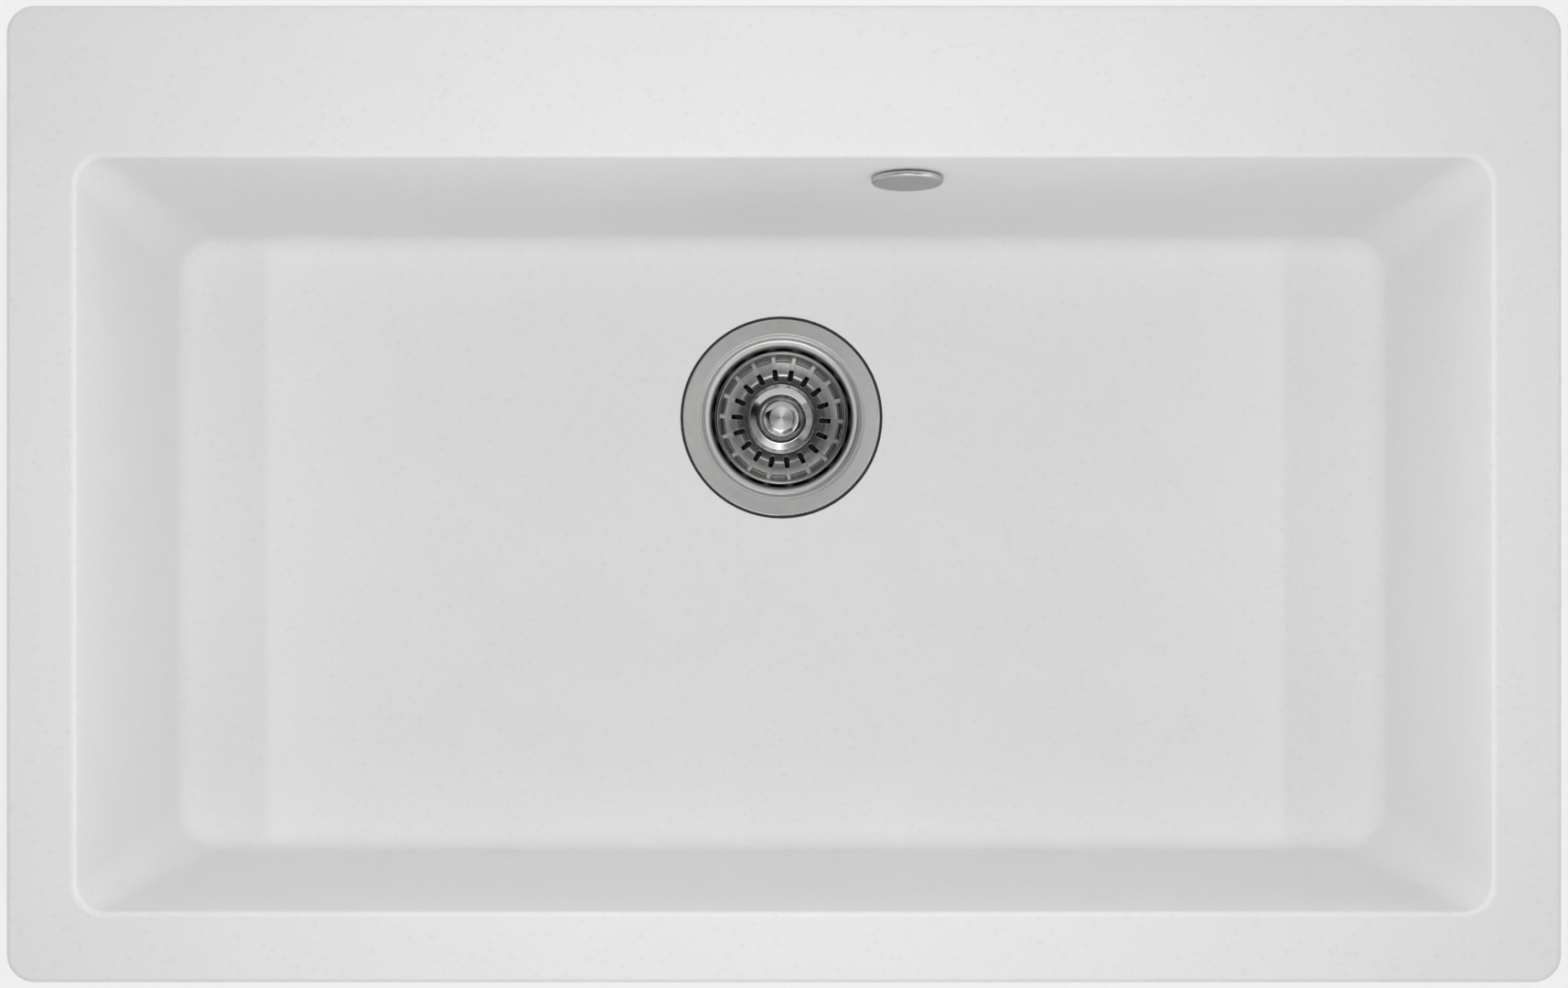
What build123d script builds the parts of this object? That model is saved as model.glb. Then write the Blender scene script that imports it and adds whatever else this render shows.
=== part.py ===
from build123d import *
import math
import os

# White granite-composite kitchen sink with one bowl, a basket waste, an overflow and rim clamps.
# Millimetres. The origin is the centre of the outline in the plane where the rim rests on the worktop.
# +X is right, +Y is towards the rear ledge and +Z is up.

# Casting
sink_width = 780.0
sink_length = 490.0
outline_radius = 14.0
rim_height = 9.0
rim_edge_round = 3.0
side_rim = 35.0
front_rim = 35.5
rear_ledge = 76.0
bowl_depth = 200.0
bowl_wall = 9.0
bowl_floor = 10.0
side_draft = 3.1
front_draft = 2.1
back_draft = 6.6
rim_corner_radius = 14.0
floor_corner_radius = 25.0
floor_round = 16.0
under_rim_round = 5.0

# Blind knock-outs for taps under the rear ledge
knockout_count = 3
knockout_radius = 17.5
knockout_depth = 4.5
knockout_spacing = 130.0

# Foam strip in its groove under the rim
strip_inset = 2.0
strip_width = 5.0
strip_depth = 2.0

# Drain, measured forward from the back edge of the bowl
drain_setback = 125.0
drain_hole_gap = 1.3

# Strainer body, a pressed sheet
strainer_sheet = 1.0
flange_radius = 56.8
flange_height = 2.2
flange_proud = 0.2
flange_edge_round = 0.9
ridge_radius = 47.9
ridge_run = 1.5
ridge_step = 1.6
ridge_round = 0.8
lip_radius = 43.6
lip_fall = 0.2
lip_round = 2.4
cup_lead = 4.6
cup_lead_round = 3.5
cup_round = 5.0
well_gap = 0.6
well_run = 0.8
well_edge_round = 1.4
well_round = 1.2
seat_inner_radius = 24.0
seat_round = 3.0
hub_radius = 10.0
window_count = 6
window_width = 8.0
window_margin = 1.0

# Gasket under the flange, in its recess
gasket_thickness = 1.5
gasket_lip = 1.2
gasket_fit = 0.1

# Basket, a pressed sheet with a rolled rim
basket_sheet = 0.8
basket_radius = 38.7
basket_gap = 1.5
basket_dish_gap = 1.4
basket_bead = 1.2
basket_rim_drop = 8.0
basket_height = 23.0
basket_wall_lean = 3.0
basket_dish_width = 9.0
basket_dish_rise = 4.4
basket_wall_round = 3.5
basket_floor_round = 4.5
boss_radius = 19.7
boss_edge_run = 0.6
boss_edge_height = 3.3
boss_top_radius = 14.4
boss_height = 5.0
boss_foot_round = 0.5
boss_round = 1.2
slot_count = 18
slot_inner_width = 3.2
slot_outer_width = 2.2
slot_inner_radius = 22.2
slot_outer_radius = 35.8
slot_turn = 77.5

# Knob with its stem, and the plug, washer and nut under the basket
knob_foot_radius = 13.4
knob_foot_edge = 0.8
knob_foot_height = 5.0
knob_foot_bulge = 0.9
knob_neck_radius = 4.3
knob_neck_hollow = 1.0
knob_head_radius = 6.9
knob_head_height = 4.0
knob_height = 20.0
knob_edge_round = 0.7
stem_radius = 3.0
stem_fit = 0.06
stem_end = 0.7
plug_radius = 27.4
plug_thickness = 3.0
plug_lip_width = 4.5
plug_lip_drop = 2.0
seat_gap = 0.3
washer_radius = 15.0
washer_thickness = 1.0
nut_across = 10.0
nut_height = 4.0

# Centre screw and its insert
screw_radius = 3.0
screw_fit = 0.06
screw_head_radius = 7.0
screw_head_height = 3.0
screw_head_round = 1.5
screw_head_room = 2.5
screw_slot_width = 1.4
screw_slot_depth = 1.4
insert_radius = 4.5
insert_length = 12.0

# Waste body
drain_pad_height = 3.0
drain_pad_margin = 8.0
waste_gasket_thickness = 3.0
waste_gap = 2.3
waste_wall = 3.0
waste_flange_radius = 54.0
waste_flange_thickness = 5.0
waste_room = 3.0
cone_height = 18.0
outlet_radius = 23.9
outlet_wall = 3.4
outlet_length = 32.0
spider_arms = 3
spider_thickness = 3.0
spider_wall = 2.0
spider_gap = 2.0

# Overflow, from the cap in the bowl to the elbow behind the back wall
overflow_x = 64.0
overflow_drop = 43.0
overflow_hole_radius = 15.0
cap_radius = 18.5
cap_stand = 3.8
cap_slit = 1.2
cap_sheet = 1.0
cap_edge_round = 1.6
cap_boss_length = 6.0
stud_radius = 3.0
stud_fit = 0.06
stud_wall = 2.0
stud_grip = 10.0
overflow_gasket_thickness = 2.0
overflow_gasket_width = 6.0
elbow_flange_thickness = 3.0
elbow_flange_margin = 1.5
elbow_wall = 3.0
elbow_end_round = 5.0
chamber_radius = 14.0
chamber_margin = 2.0
leg_length = 38.0

# Overflow pipe and its slip joints
pipe_radius = 11.0
pipe_wall = 1.5
pipe_fit = 0.1
pipe_bend = 40.0
pipe_stand = 18.0
pipe_end_gap = 0.2
socket_depth = 14.0
socket_wall = 2.5
branch_reach = 28.0
slip_nut_fit = 0.1
slip_nut_wall = 3.0
slip_nut_grip = 10.0
slip_nut_lip = 2.5
slip_nut_ribs = 12
slip_nut_rib_width = 2.4
slip_nut_rib_height = 0.8
slip_seal_thickness = 2.5

# Rim clamps, each a dowel in the casting, a screw that draws upwards and an arm that swings out
clamp_wall_gap = 7.0
front_clamp_x = 220.0
back_clamp_x = 250.0
side_clamp_y = -20.0
lug_radius = 6.5
lug_height = 20.0
dowel_radius = 4.5
dowel_fit = 0.05
clamp_screw_radius = 3.0
clamp_screw_fit = 0.06
clamp_thread_grip = 8.0
clamp_travel = 16.0
clamp_end_room = 0.5
clamp_head_across = 10.0
clamp_head_height = 4.0
clamp_collar_radius = 4.5
clamp_collar_height = 2.5
clamp_opening = 42.0
arm_thickness = 3.0
arm_width = 12.0
arm_length = 30.0
arm_tip_rise = 3.0
arm_bend = 1.0
arm_play = 0.2

# How far a cutter runs past the face that it opens
cut_past = 2.0

# Levels and radii of the drain that follow from the sizes above
floor_top = rim_height - bowl_depth
floor_under = floor_top - bowl_floor
drain_y = sink_length / 2 - rear_ledge - drain_setback
flange_top = floor_top + flange_proud
recess_level = flange_top - flange_height - gasket_thickness
recess_radius = flange_radius + gasket_lip + 2 * gasket_fit
drain_hole_radius = lip_radius + drain_hole_gap
cup_radius = basket_radius + basket_gap
basket_rim_level = flange_top - basket_rim_drop
basket_floor_level = basket_rim_level - basket_height
bead_radius = basket_radius - basket_bead
basket_wall_radius = bead_radius - basket_wall_lean
basket_floor_radius = basket_wall_radius - basket_dish_width
dish_slope = basket_dish_rise / basket_dish_width
dish_drop = basket_sheet * math.hypot(1, dish_slope) + basket_dish_gap
boss_level = basket_floor_level + boss_height
knob_top = boss_level + knob_height
plug_top = basket_floor_level - basket_sheet
plug_under = plug_top - plug_thickness
lip_under = plug_under - plug_lip_drop
seat_level = lip_under - seat_gap
well_floor_radius = plug_radius + well_gap
well_radius = well_floor_radius + well_run
well_level = basket_floor_level + dish_slope * (well_radius - basket_floor_radius) - dish_drop
cup_floor_level = basket_floor_level + dish_slope * (cup_radius - basket_floor_radius) - dish_drop
nut_top = plug_under - washer_thickness
stem_level = nut_top - nut_height - stem_end
hub_level = stem_level - screw_head_room - screw_head_height
hub_under = hub_level - strainer_sheet
pad_under = floor_under - drain_pad_height
drain_pad_radius = waste_flange_radius + drain_pad_margin
waste_top = pad_under - waste_gasket_thickness
waste_radius = cup_radius + strainer_sheet + waste_gap
waste_outside = waste_radius + waste_wall
cone_top = hub_under - waste_room
outlet_top = cone_top - cone_height
outlet_level = outlet_top - outlet_length
outlet_bore = outlet_radius - outlet_wall
spider_top = hub_under - spider_gap
insert_level = spider_top - insert_length
spider_level = insert_level - spider_wall
branch_level = (waste_top - waste_flange_thickness + cone_top) / 2

# The overflow's own frame: its z axis runs out through the back wall and its y axis runs down that wall
back_slope = math.radians(back_draft)
wall_through = bowl_wall * math.cos(back_slope)
overflow_y = sink_length / 2 - rear_ledge - overflow_drop * math.tan(back_slope)
overflow_point = (overflow_x, overflow_y, rim_height - overflow_drop)
wall_axis = Vector(0, math.cos(back_slope), -math.sin(back_slope))
wall_frame = Plane(origin=overflow_point, x_dir=(1, 0, 0), z_dir=wall_axis)
bowl_side_frame = Plane(origin=overflow_point, x_dir=(1, 0, 0), z_dir=-wall_axis)

# The elbow's leg is plumb, and the lower run of the pipe points at the drain's axis
pipe_bore = pipe_radius - pipe_wall
socket_radius = pipe_radius + pipe_fit
leg_radius = socket_radius + socket_wall
elbow_face = wall_through + overflow_gasket_thickness
leg_distance = wall_through + pipe_stand
chamber_end = leg_distance + leg_radius + chamber_margin
leg_top = wall_frame.from_local_coords(Vector(0, 0, leg_distance))
leg_mouth = leg_top - Vector(0, 0, leg_length)
branch_turn = math.atan2(leg_top.Y - drain_y, overflow_x)
branch_way = Vector(math.cos(branch_turn), math.sin(branch_turn), 0)
branch_start = Vector(0, drain_y, branch_level)
branch_length = waste_outside + branch_reach
branch_mouth = branch_start + branch_way * branch_length
branch_frame = Plane(origin=branch_start, x_dir=(0, 0, 1), z_dir=branch_way)
leg_frame = Plane(origin=leg_top, x_dir=(1, 0, 0), z_dir=(0, 0, -1))

# Rim clamps by name: their place and the turn that faces them out of the sink
clamp_side = sink_width / 2 - side_rim + bowl_wall + clamp_wall_gap
clamp_front = sink_length / 2 - front_rim + bowl_wall + clamp_wall_gap
clamp_back = sink_length / 2 - side_rim + bowl_wall + clamp_wall_gap
clamps = {
    "front_left": (-front_clamp_x, -clamp_front, 180),
    "front_right": (front_clamp_x, -clamp_front, 180),
    "back_left": (-back_clamp_x, clamp_back, 0),
    "back_right": (back_clamp_x, clamp_back, 0),
    "left": (-clamp_side, side_clamp_y, 90),
    "right": (clamp_side, side_clamp_y, -90),
}
dowel_top = clamp_thread_grip + clamp_travel + clamp_end_room - lug_height
arm_top = -clamp_opening - arm_tip_rise
arm_under = arm_top - arm_thickness


def at_drain(shape):
    """Move a shape that was made round the Z axis to the drain's axis."""
    return Pos(0, drain_y, 0) * shape


def disc(radius, low, high):
    """A plain round block on the Z axis between two levels."""
    return Pos(0, 0, low) * extrude(Circle(radius), high - low)


def ring(outer, inner, low, high):
    """A plain ring round the Z axis between two levels."""
    return Pos(0, 0, low) * extrude(Circle(outer) - Circle(inner), high - low)


def turned(points):
    """A solid of revolution from the corners of its half section, as radius and level."""
    return revolve(Plane.XZ * make_face(Polyline(*points, close=True)), Axis.Z)


def pressed(points, radii, thickness):
    """A revolved sheet: the points run inwards along its upper face and the metal lies below them."""
    upper = FilletPolyline(*points, radius=radii)
    section = make_face(upper.offset_2d(thickness, side=Side.LEFT))
    return revolve(Plane.XZ * section, Axis.Z)


def radial_slots(count, inner, outer, widths, low, high, first_turn):
    """Cutters for slots with round ends, spread evenly round the Z axis, with their inner and outer widths."""
    inner_end = Pos(inner + widths[0] / 2, 0) * Circle(widths[0] / 2)
    outer_end = Pos(outer - widths[1] / 2, 0) * Circle(widths[1] / 2)
    outline = make_hull(inner_end.edges() + outer_end.edges())
    cutter = Pos(0, 0, low) * extrude(outline, high - low)
    return [Rot(0, 0, first_turn + 360 * step / count) * cutter for step in range(count)]


def hexagon(across, low, high, bore):
    """A hexagonal nut or head on the Z axis, with a bore unless that is nothing."""
    outline = RegularPolygon(across / 2, 6, major_radius=False)
    if bore > 0:
        outline -= Circle(bore)
    return Pos(0, 0, low) * extrude(outline, high - low)


def bowl_section(depth, grow):
    """The bowl's rounded rectangle at a depth below the deck, larger all round by grow."""
    half_width = sink_width / 2 - side_rim - depth * math.tan(math.radians(side_draft)) + grow
    front = front_rim - sink_length / 2 + depth * math.tan(math.radians(front_draft)) - grow
    back = sink_length / 2 - rear_ledge - depth * math.tan(back_slope) + grow
    growth = (floor_corner_radius - rim_corner_radius) * depth / bowl_depth
    outline = RectangleRounded(2 * half_width, back - front, rim_corner_radius + growth + grow)
    return Pos(0, (front + back) / 2, rim_height - depth) * outline


def bowl_block(top_depth, floor_depth, grow, edge_round):
    """A drafted block with a rounded lower edge: the bowl's hollow or its outside."""
    block = loft([bowl_section(top_depth, grow), bowl_section(floor_depth, grow)], ruled=True)
    return fillet(block.edges().group_by(Axis.Z)[0], edge_round)


def rim_outline(inset):
    """The sink's outline, smaller all round by inset."""
    return RectangleRounded(sink_width - 2 * inset, sink_length - 2 * inset, outline_radius - inset)


def strip_block():
    """The ring that the foam strip fills, upwards from the seat plane."""
    return extrude(rim_outline(strip_inset) - rim_outline(strip_inset + strip_width), strip_depth)


def clamp_place(name):
    """The frame of one rim clamp: +Y points out of the sink and the arm is parked along +X."""
    x, y, turn = clamps[name]
    return Pos(x, y, 0) * Rot(0, 0, turn)


def clamp_lug():
    """The lug under the rim that holds a dowel, with its root in the bowl's wall."""
    root = clamp_wall_gap + bowl_wall / 2
    outline = Circle(lug_radius) + Pos(0, -root / 2) * Rectangle(2 * lug_radius, root)
    return extrude(outline, -lug_height)


def make_sink_bowl():
    """The casting: rim, ledge, drafted bowl, drain seat, overflow hole, lugs and knock-outs."""
    body = extrude(rim_outline(0), rim_height)
    body += bowl_block(rim_height / 2, bowl_depth + bowl_floor, bowl_wall, floor_round + bowl_wall)
    seat = body.faces().filter_by(Plane.XY).sort_by(Axis.Z)[1]
    body = fillet(seat.inner_wires()[0].edges(), under_rim_round)
    body += [clamp_place(name) * clamp_lug() for name in clamps]
    body += at_drain(disc(drain_pad_radius, pad_under, floor_under + bowl_floor / 2))
    body -= bowl_block(-rim_edge_round, bowl_depth, 0, floor_round)
    body = fillet(body.edges().group_by(Axis.Z)[-1], rim_edge_round)
    body -= at_drain(disc(recess_radius, recess_level, floor_top + cut_past))
    body -= at_drain(disc(drain_hole_radius, pad_under - cut_past, floor_top))
    body -= wall_frame * disc(overflow_hole_radius, -cut_past, wall_through + cut_past)
    body -= [clamp_place(name) * disc(dowel_radius + dowel_fit, -lug_height, dowel_top) for name in clamps]
    knockout = Pos(0, (sink_length - rear_ledge) / 2, 0) * disc(knockout_radius, 0, knockout_depth)
    body -= [place * knockout for place in GridLocations(knockout_spacing, 0, knockout_count, 1)]
    return body - strip_block()


def make_strainer_body():
    """The flange, the cup that follows the basket, the plug's well and the perforated hub, in one sheet."""
    upper = [
        (flange_radius, flange_top - flange_height),
        (flange_radius, flange_top),
        (ridge_radius, flange_top),
        (ridge_radius - ridge_run, flange_top - ridge_step),
        (lip_radius, flange_top - ridge_step - lip_fall),
        (cup_radius, flange_top - cup_lead),
        (cup_radius, cup_floor_level),
        (well_radius, well_level),
        (well_floor_radius, seat_level),
        (seat_inner_radius, seat_level),
        (hub_radius, hub_level),
        (screw_radius + screw_fit, hub_level),
    ]
    radii = [flange_edge_round, ridge_round, ridge_round, lip_round]
    radii += [cup_lead_round, cup_round, well_edge_round, well_round, seat_round, seat_round]
    inner = hub_radius + window_margin
    outer = seat_inner_radius - window_margin
    widths = (window_width, window_width)
    windows = radial_slots(window_count, inner, outer, widths, hub_under, seat_level, 0)
    return at_drain(pressed(upper, radii, strainer_sheet) - windows)


def make_flange_gasket():
    """The rubber ring under the flange, with a lip that shows round the flange's edge."""
    inner = ridge_radius
    outer = recess_radius - gasket_fit
    lip_inner = flange_radius + gasket_fit
    top = recess_level + gasket_thickness
    section = [
        (inner, recess_level),
        (outer, recess_level),
        (outer, floor_top),
        (lip_inner, floor_top),
        (lip_inner, top),
        (inner, top),
    ]
    return at_drain(turned(section))


def make_strainer_basket():
    """The basket: rolled rim, steep wall, dished bottom with tapering slots, and a raised boss."""
    upper = [
        (bead_radius, basket_rim_level),
        (basket_wall_radius, basket_floor_level + basket_dish_rise),
        (basket_floor_radius, basket_floor_level),
        (boss_radius, basket_floor_level),
        (boss_radius - boss_edge_run, basket_floor_level + boss_edge_height),
        (boss_top_radius, boss_level),
        (stem_radius + stem_fit, boss_level),
    ]
    radii = [basket_wall_round, basket_floor_round, boss_foot_round, boss_round, boss_round]
    shell = pressed(upper, radii, basket_sheet)
    shell += Pos(0, 0, basket_rim_level) * Torus(bead_radius, basket_bead)
    low = basket_floor_level - basket_sheet - cut_past
    high = basket_rim_level - basket_bead
    widths = (slot_inner_width, slot_outer_width)
    slots = radial_slots(slot_count, slot_inner_radius, slot_outer_radius, widths, low, high, slot_turn)
    return at_drain(shell - slots)


def make_basket_knob():
    """The turned knob: a domed foot, a hollow neck, a flat head and a stem through the basket."""
    foot_top = boss_level + knob_foot_height
    head_under = knob_top - knob_head_height
    foot_edge = (knob_foot_radius, boss_level + knob_foot_edge)
    neck = (knob_neck_radius, foot_top)
    head = (knob_head_radius, head_under)
    lower = Polyline((0, stem_level), (stem_radius, stem_level), (stem_radius, boss_level),
                     (knob_foot_radius, boss_level), foot_edge)
    dome = SagittaArc(foot_edge, neck, -knob_foot_bulge)
    hollow = SagittaArc(neck, head, knob_neck_hollow)
    upper = Polyline(head, (knob_head_radius, knob_top), (0, knob_top), (0, stem_level))
    knob = revolve(Plane.XZ * make_face([lower, dome, hollow, upper]), Axis.Z)
    return at_drain(fillet(knob.edges().group_by(Axis.Z)[-1], knob_edge_round))


def make_basket_seal():
    """The rubber plug under the basket, with a lip that closes on the cup's seat."""
    bore = stem_radius + stem_fit
    lip_inner = plug_radius - plug_lip_width
    section = [
        (bore, plug_top),
        (plug_radius, plug_top),
        (plug_radius, lip_under),
        (lip_inner, lip_under),
        (lip_inner, plug_under),
        (bore, plug_under),
    ]
    return at_drain(turned(section))


def make_seal_washer():
    """The steel washer that holds the plug to the basket."""
    return at_drain(ring(washer_radius, stem_radius + stem_fit, nut_top, plug_under))


def make_knob_nut():
    """The nut on the end of the knob's stem."""
    return at_drain(hexagon(nut_across, nut_top - nut_height, nut_top, stem_radius + stem_fit))


def make_centre_screw():
    """The slotted screw that draws the strainer body and the waste body together."""
    head_top = hub_level + screw_head_height
    head = disc(screw_head_radius, hub_level, head_top)
    head = fillet(head.edges().group_by(Axis.Z)[-1], screw_head_round)
    slot = Pos(0, 0, head_top) * Box(2 * screw_head_radius, screw_slot_width, 2 * screw_slot_depth)
    return at_drain(head + disc(screw_radius, insert_level, hub_level) - slot)


def make_screw_insert():
    """The brass insert in the waste body's spider."""
    return at_drain(ring(insert_radius, screw_radius + screw_fit, insert_level, spider_top))


def make_waste_gasket():
    """The rubber ring between the floor's pad and the waste body."""
    return at_drain(ring(waste_flange_radius, drain_hole_radius, waste_top, pad_under))


def make_waste_body():
    """The plastic cup below the floor, with a spider for the screw, an outlet and the overflow branch."""
    outside = [
        (waste_flange_radius, waste_top),
        (waste_flange_radius, waste_top - waste_flange_thickness),
        (waste_outside, waste_top - waste_flange_thickness),
        (waste_outside, cone_top),
        (outlet_radius, outlet_top),
        (outlet_radius, outlet_level),
    ]
    inside = [
        (waste_radius, waste_top),
        (waste_radius, cone_top),
        (outlet_bore, outlet_top),
        (outlet_bore, outlet_level),
    ]
    solid = turned([(0, waste_top)] + outside + [(0, outlet_level)])
    hollow = turned([(0, waste_top)] + inside + [(0, outlet_level)])
    spider = disc(insert_radius + spider_wall, spider_level, spider_top)
    height = spider_top - spider_level
    blade = Pos(waste_radius / 2, 0, spider_level + height / 2) * Box(waste_radius, spider_thickness, height)
    spider += [Rot(0, 0, 360 * step / spider_arms) * blade for step in range(spider_arms)]
    spider -= disc(insert_radius + screw_fit, insert_level, spider_top)
    body = at_drain(solid) + branch_frame * disc(leg_radius, 0, branch_length)
    body -= at_drain(hollow)
    body -= branch_frame * disc(pipe_bore, 0, branch_length)
    body -= branch_frame * disc(socket_radius, branch_length - socket_depth, branch_length)
    return body + at_drain(spider & solid)


def make_overflow_cap():
    """The round cap in the bowl: a plain dish that stands off the wall, with a boss for its stud."""
    upper = [(cap_radius, cap_slit), (cap_radius, cap_stand), (0, cap_stand)]
    dish = pressed(upper, [cap_edge_round], cap_sheet)
    boss_top = cap_stand - cap_sheet
    boss = disc(stud_radius + stud_wall, boss_top - cap_boss_length, boss_top)
    hole = disc(stud_radius + stud_fit, boss_top - cap_boss_length, boss_top)
    return bowl_side_frame * (dish + boss - hole)


def make_overflow_stud():
    """The stud that pulls the cap and the elbow together through the wall."""
    return wall_frame * disc(stud_radius, cap_sheet - cap_stand, elbow_face + stud_grip)


def make_overflow_gasket():
    """The rubber ring between the outside of the wall and the elbow."""
    outer = overflow_hole_radius + overflow_gasket_width
    return wall_frame * ring(outer, overflow_hole_radius, wall_through, elbow_face)


def make_overflow_elbow():
    """The plastic elbow behind the wall: a round chamber with a stud boss and a plumb leg."""
    flange_outer = overflow_hole_radius + overflow_gasket_width + elbow_flange_margin
    chamber_floor = chamber_end - elbow_wall
    shell = disc(chamber_radius + elbow_wall, elbow_face, chamber_end)
    shell = fillet(shell.edges().group_by(Axis.Z)[-1], elbow_end_round)
    shell += disc(flange_outer, elbow_face, elbow_face + elbow_flange_thickness)
    body = wall_frame * shell + leg_frame * disc(leg_radius, 0, leg_length)
    body -= wall_frame * disc(chamber_radius, elbow_face, chamber_floor)
    body -= leg_frame * disc(pipe_bore, 0, leg_length)
    body -= leg_frame * disc(socket_radius, leg_length - socket_depth, leg_length)
    boss = disc(stud_radius + stud_wall, elbow_face, chamber_floor)
    return body + wall_frame * (boss - disc(stud_radius + stud_fit, elbow_face, elbow_face + stud_grip))


def make_overflow_pipe():
    """The rigid pipe from the elbow's leg down and forward into the waste body's branch."""
    top = leg_mouth + Vector(0, 0, socket_depth - pipe_end_gap)
    corner = Vector(leg_top.X, leg_top.Y, branch_level)
    end = branch_mouth - branch_way * (socket_depth - pipe_end_gap)
    route = FilletPolyline(top, corner, end, radius=pipe_bend)
    section = Plane(origin=top, z_dir=(0, 0, -1)) * (Circle(pipe_radius) - Circle(pipe_bore))
    return sweep(section, path=route)


def slip_joints():
    """The frames of the two sockets' mouths, with z along the way that the pipe leaves them."""
    return {
        "upper": Plane(origin=leg_mouth, z_dir=(0, 0, -1)),
        "lower": Plane(origin=branch_mouth, z_dir=branch_way),
    }


def make_slip_nut():
    """A ribbed slip nut over a socket's mouth, with a lip behind the seal."""
    bore = leg_radius + slip_nut_fit
    outer = bore + slip_nut_wall
    end = slip_seal_thickness + slip_nut_lip
    section = [
        (bore, -slip_nut_grip),
        (outer, -slip_nut_grip),
        (outer, end),
        (pipe_radius + pipe_fit, end),
        (pipe_radius + pipe_fit, slip_seal_thickness),
        (bore, slip_seal_thickness),
    ]
    length = end + slip_nut_grip
    middle = outer + slip_nut_rib_height / 2 - slip_nut_wall / 4
    rib = Box(slip_nut_rib_height + slip_nut_wall / 2, slip_nut_rib_width, length)
    rib = Pos(middle, 0, end - length / 2) * rib
    return turned(section) + [Rot(0, 0, 360 * step / slip_nut_ribs) * rib for step in range(slip_nut_ribs)]


def make_slip_seal():
    """The rubber ring between a socket's mouth and its nut's lip."""
    return ring(leg_radius, socket_radius, 0, slip_seal_thickness)


def make_clamp_dowels():
    """The dowels that take the clamp screws, one in each lug."""
    dowel = ring(dowel_radius, clamp_screw_radius + clamp_screw_fit, -lug_height, dowel_top)
    return Compound(children=[clamp_place(name) * dowel for name in clamps])


def make_clamp_screw():
    """A clamp screw: hexagon head, a collar over the arm and a long shank."""
    head_top = arm_under - arm_play
    collar_under = arm_top + arm_play
    screw = hexagon(clamp_head_across, head_top - clamp_head_height, head_top, 0)
    screw += disc(clamp_screw_radius, head_top, clamp_thread_grip - lug_height)
    return screw + disc(clamp_collar_radius, collar_under, collar_under + clamp_collar_height)


def make_clamp_arm():
    """A clamp arm: a steel strip with a round tail on the screw and a tip bent up to the worktop."""
    tail = arm_width / 2
    inner_tip = arm_length - arm_thickness
    upper = FilletPolyline(
        (-tail, arm_top), (inner_tip, arm_top), (inner_tip, -clamp_opening), radius=arm_bend
    )
    side_view = make_face(upper.offset_2d(arm_thickness, side=Side.RIGHT))
    strip = extrude(Plane.XZ * side_view, arm_width / 2, both=True)
    outline = Circle(tail) + Pos(arm_length / 2, 0) * Rectangle(arm_length, arm_width)
    strip &= Pos(0, 0, arm_under) * extrude(outline, -clamp_opening - arm_under)
    return strip - disc(clamp_screw_radius + clamp_screw_fit, arm_under, arm_top)


def make_nodes():
    """Every piece of the sink by its node's name."""
    nodes = {
        "sink_bowl": make_sink_bowl(),
        "rim_seal": strip_block(),
        "strainer_body": make_strainer_body(),
        "flange_gasket": make_flange_gasket(),
        "strainer_basket": make_strainer_basket(),
        "basket_knob": make_basket_knob(),
        "basket_seal": make_basket_seal(),
        "seal_washer": make_seal_washer(),
        "knob_nut": make_knob_nut(),
        "centre_screw": make_centre_screw(),
        "screw_insert": make_screw_insert(),
        "waste_gasket": make_waste_gasket(),
        "waste_body": make_waste_body(),
        "overflow_cap": make_overflow_cap(),
        "overflow_stud": make_overflow_stud(),
        "overflow_gasket": make_overflow_gasket(),
        "overflow_elbow": make_overflow_elbow(),
        "overflow_pipe": make_overflow_pipe(),
        "clamp_dowels": make_clamp_dowels(),
    }
    for end, frame in slip_joints().items():
        nodes[f"pipe_nut_{end}"] = frame * make_slip_nut()
        nodes[f"pipe_seal_{end}"] = frame * make_slip_seal()
    for name in clamps:
        nodes[f"clamp_screw_{name}"] = clamp_place(name) * make_clamp_screw()
        nodes[f"clamp_arm_{name}"] = clamp_place(name) * make_clamp_arm()
    return nodes


os.makedirs("parts", exist_ok=True)
for node_name, shape in make_nodes().items():
    export_step(shape, f"parts/{node_name}.step")
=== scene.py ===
import math

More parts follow.
